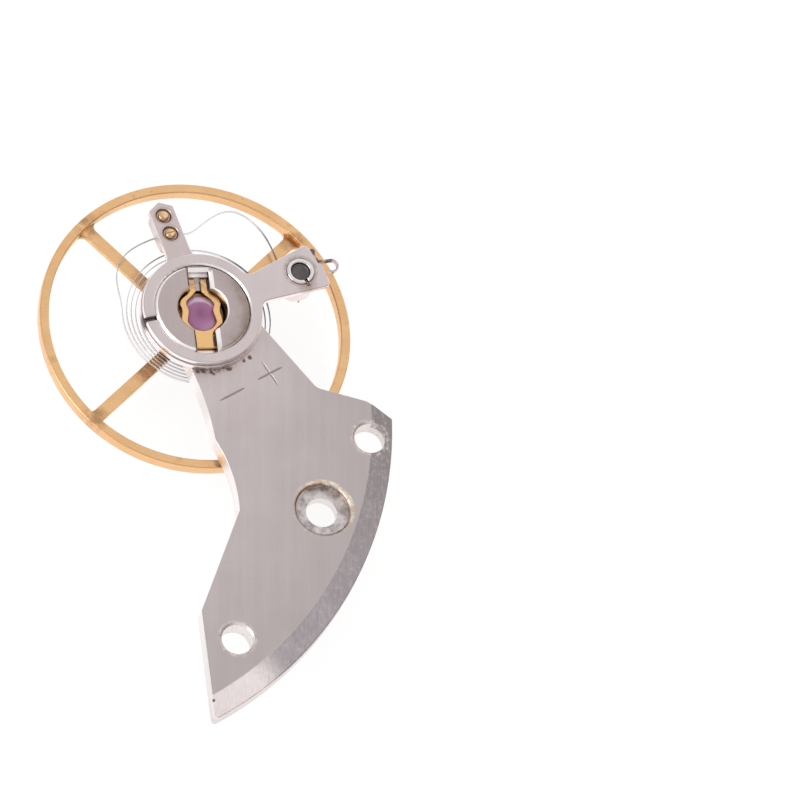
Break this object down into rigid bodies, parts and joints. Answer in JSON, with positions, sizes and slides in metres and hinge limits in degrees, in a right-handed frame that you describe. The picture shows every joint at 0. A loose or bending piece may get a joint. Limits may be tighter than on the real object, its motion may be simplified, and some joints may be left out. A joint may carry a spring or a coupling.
{
  "type": "watch balance assembly",
  "caption": "Watch balance assembly: a bevelled cock carries a jewelled shock setting, regulator and stud arm above a sprung balance wheel.",
  "frame": {"origin": "on the balance axis, at the tip of the lower pivot", "axes": "+Z along the balance axis, from the rollers up to the cock; the cock's screw and dowel holes lie on one line along Y, on the +X side, and its foot points to -Y"},
  "size_m": [0.0138, 0.0168, 0.0028],
  "materials": {
    "nickel": "nickel-plated, finely brushed",
    "steel": "fine satin",
    "polished_steel": "polished",
    "dark_steel": "satin, with a dark end",
    "spring_alloy": "satin",
    "brass": "turned",
    "gilt": "gilt, polished",
    "gilt_alloy": "gilt, satin",
    "ruby": "polished synthetic ruby"
  },
  "bodies": {
    "cock": {"balance_cock": "nickel", "shock_block": "steel", "jewel_setting": "brass", "hole_jewel": "ruby", "cap_jewel": "ruby"},
    "shock_spring": {"shock_spring": "gilt"},
    "regulator": {"regulator": "steel", "regulator_pin": "gilt"},
    "regulator_boot": {"regulator_boot": "gilt"},
    "stud_carrier": {"stud_carrier": "steel", "stud_collar": "polished_steel", "hairspring_stud": "dark_steel", "stud_clip": "polished_steel", "stud_pin": "brass", "hairspring": "spring_alloy"},
    "balance": {"collet": "brass", "collet_pin": "brass", "balance_staff": "polished_steel", "balance_wheel": "gilt_alloy", "double_roller": "polished_steel", "impulse_jewel": "ruby"}
  },
  "joints": [
    {"name": "regulator_turn", "type": "hinge", "parent": "cock", "child": "regulator", "pos_m": [0, 0, 0.0025], "axis": [0, 0, 1], "range_deg": [-12, 12]},
    {"name": "boot_turn", "type": "hinge", "parent": "regulator", "child": "regulator_boot", "pos_m": [-0.00219, 0.00181, 0.0025], "axis": [0, 0, 1], "range_deg": [0, 90]},
    {"name": "stud_carrier_turn", "type": "hinge", "parent": "cock", "child": "stud_carrier", "pos_m": [0, 0, 0.00271], "axis": [0, 0, 1], "range_deg": [-10, 10]},
    {"name": "balance_swing", "type": "hinge", "parent": "stud_carrier", "child": "balance", "pos_m": [0, 0, 0.00137], "axis": [0, 0, 1], "range_deg": [-270, 270], "stiffness_Nm_per_rad": 0.00000055, "deforming": ["hairspring"]},
    {"name": "shock_spring_open", "type": "hinge", "parent": "cock", "child": "shock_spring", "pos_m": [0.00073, -0.00098, 0.00249], "axis": [0.8039, 0.5948, 0], "range_deg": [0, 95]}
  ]
}
